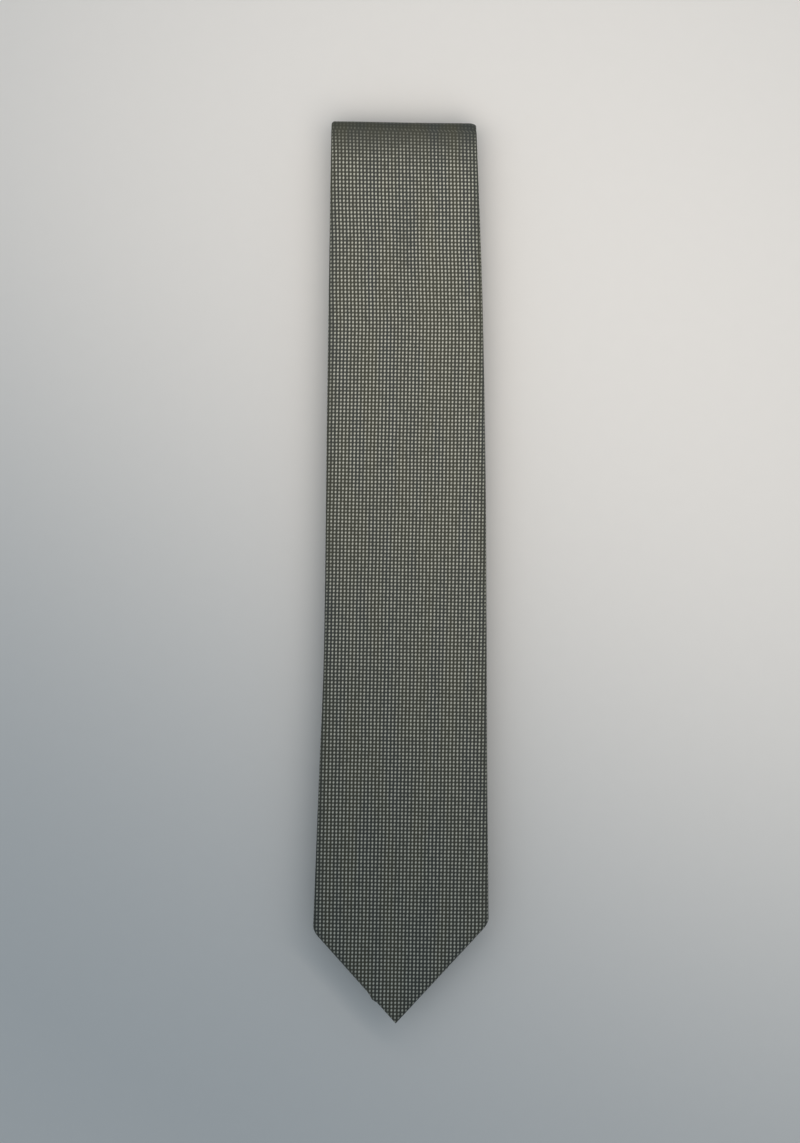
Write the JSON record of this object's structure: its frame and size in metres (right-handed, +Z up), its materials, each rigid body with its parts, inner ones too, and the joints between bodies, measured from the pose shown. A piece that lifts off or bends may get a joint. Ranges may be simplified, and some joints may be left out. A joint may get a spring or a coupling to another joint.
{
  "type": "necktie",
  "caption": "Pin-dot necktie folded flat: pointed front blade and tail, wrapped and slip-stitched shell, interlining, lined points and keeper loop, opening at its folds.",
  "frame": {"origin": "on the surface the folded tie lies on, at the middle of its outline", "axes": "+X across the tie, +Y from the front blade's point to its fold, +Z up out of the blade's good side"},
  "size_m": [0.0752, 0.386, 0.0162],
  "materials": {
    "shell_cloth": "woven silk with a small pale dot, soft sheen",
    "interlining": "undyed brushed wool, matt",
    "lining": "smooth satin lining",
    "thread": "twisted sewing thread",
    "label": "blank woven damask label",
    "care_tag": "blank satin tape"
  },
  "bodies": {
    "tail_panel": {"tail_shell_front": "shell_cloth", "tail_shell_fold": "shell_cloth", "tail_interlining": "interlining", "tail_fold_interlining": "interlining", "tail_tipping": "lining", "tail_slip_stitch": "thread", "tail_bar_tack": "thread", "tail_lining_seam_left": "thread", "tail_lining_seam_right": "thread", "care_tag": "care_tag"},
    "rear_neck_panel": {"tail_shell_rear": "shell_cloth", "neck_shell_rear": "shell_cloth", "neck_shell_fold": "shell_cloth", "rear_neck_interlining": "interlining", "neck_fold_interlining": "interlining", "rear_neck_slip_stitch": "thread", "tail_join_seam": "thread"},
    "front_neck_panel": {"neck_shell_front": "shell_cloth", "blade_shell_rear": "shell_cloth", "blade_shell_fold": "shell_cloth", "front_neck_interlining": "interlining", "blade_fold_interlining": "interlining", "front_neck_slip_stitch": "thread", "blade_join_seam": "thread"},
    "blade_panel": {"blade_shell_front": "shell_cloth", "blade_interlining": "interlining", "blade_tipping": "lining", "blade_slip_stitch": "thread", "blade_bar_tack": "thread", "blade_lining_seam_left": "thread", "blade_lining_seam_right": "thread", "keeper_loop": "shell_cloth", "keeper_loop_tack_left": "thread", "keeper_loop_tack_right": "thread", "woven_label": "label", "label_stitch_left": "thread", "label_stitch_right": "thread"}
  },
  "joints": [
    {"name": "tail_fold", "type": "hinge", "parent": "tail_panel", "child": "rear_neck_panel", "pos_m": [0.0013, 0.1872, 0.0035], "axis": [-1, 0, 0], "range_deg": [0, 180], "deforming": ["tail_shell_fold", "tail_fold_interlining"]},
    {"name": "neck_fold", "type": "hinge", "parent": "rear_neck_panel", "child": "front_neck_panel", "pos_m": [0.0013, -0.1692, 0.0073], "axis": [1, 0, 0], "range_deg": [0, 180], "deforming": ["neck_shell_fold", "neck_fold_interlining"]},
    {"name": "blade_fold", "type": "hinge", "parent": "front_neck_panel", "child": "blade_panel", "pos_m": [0.0013, 0.1899, 0.0119], "axis": [-1, 0, 0], "range_deg": [0, 180], "deforming": ["blade_shell_fold", "blade_fold_interlining"]}
  ]
}
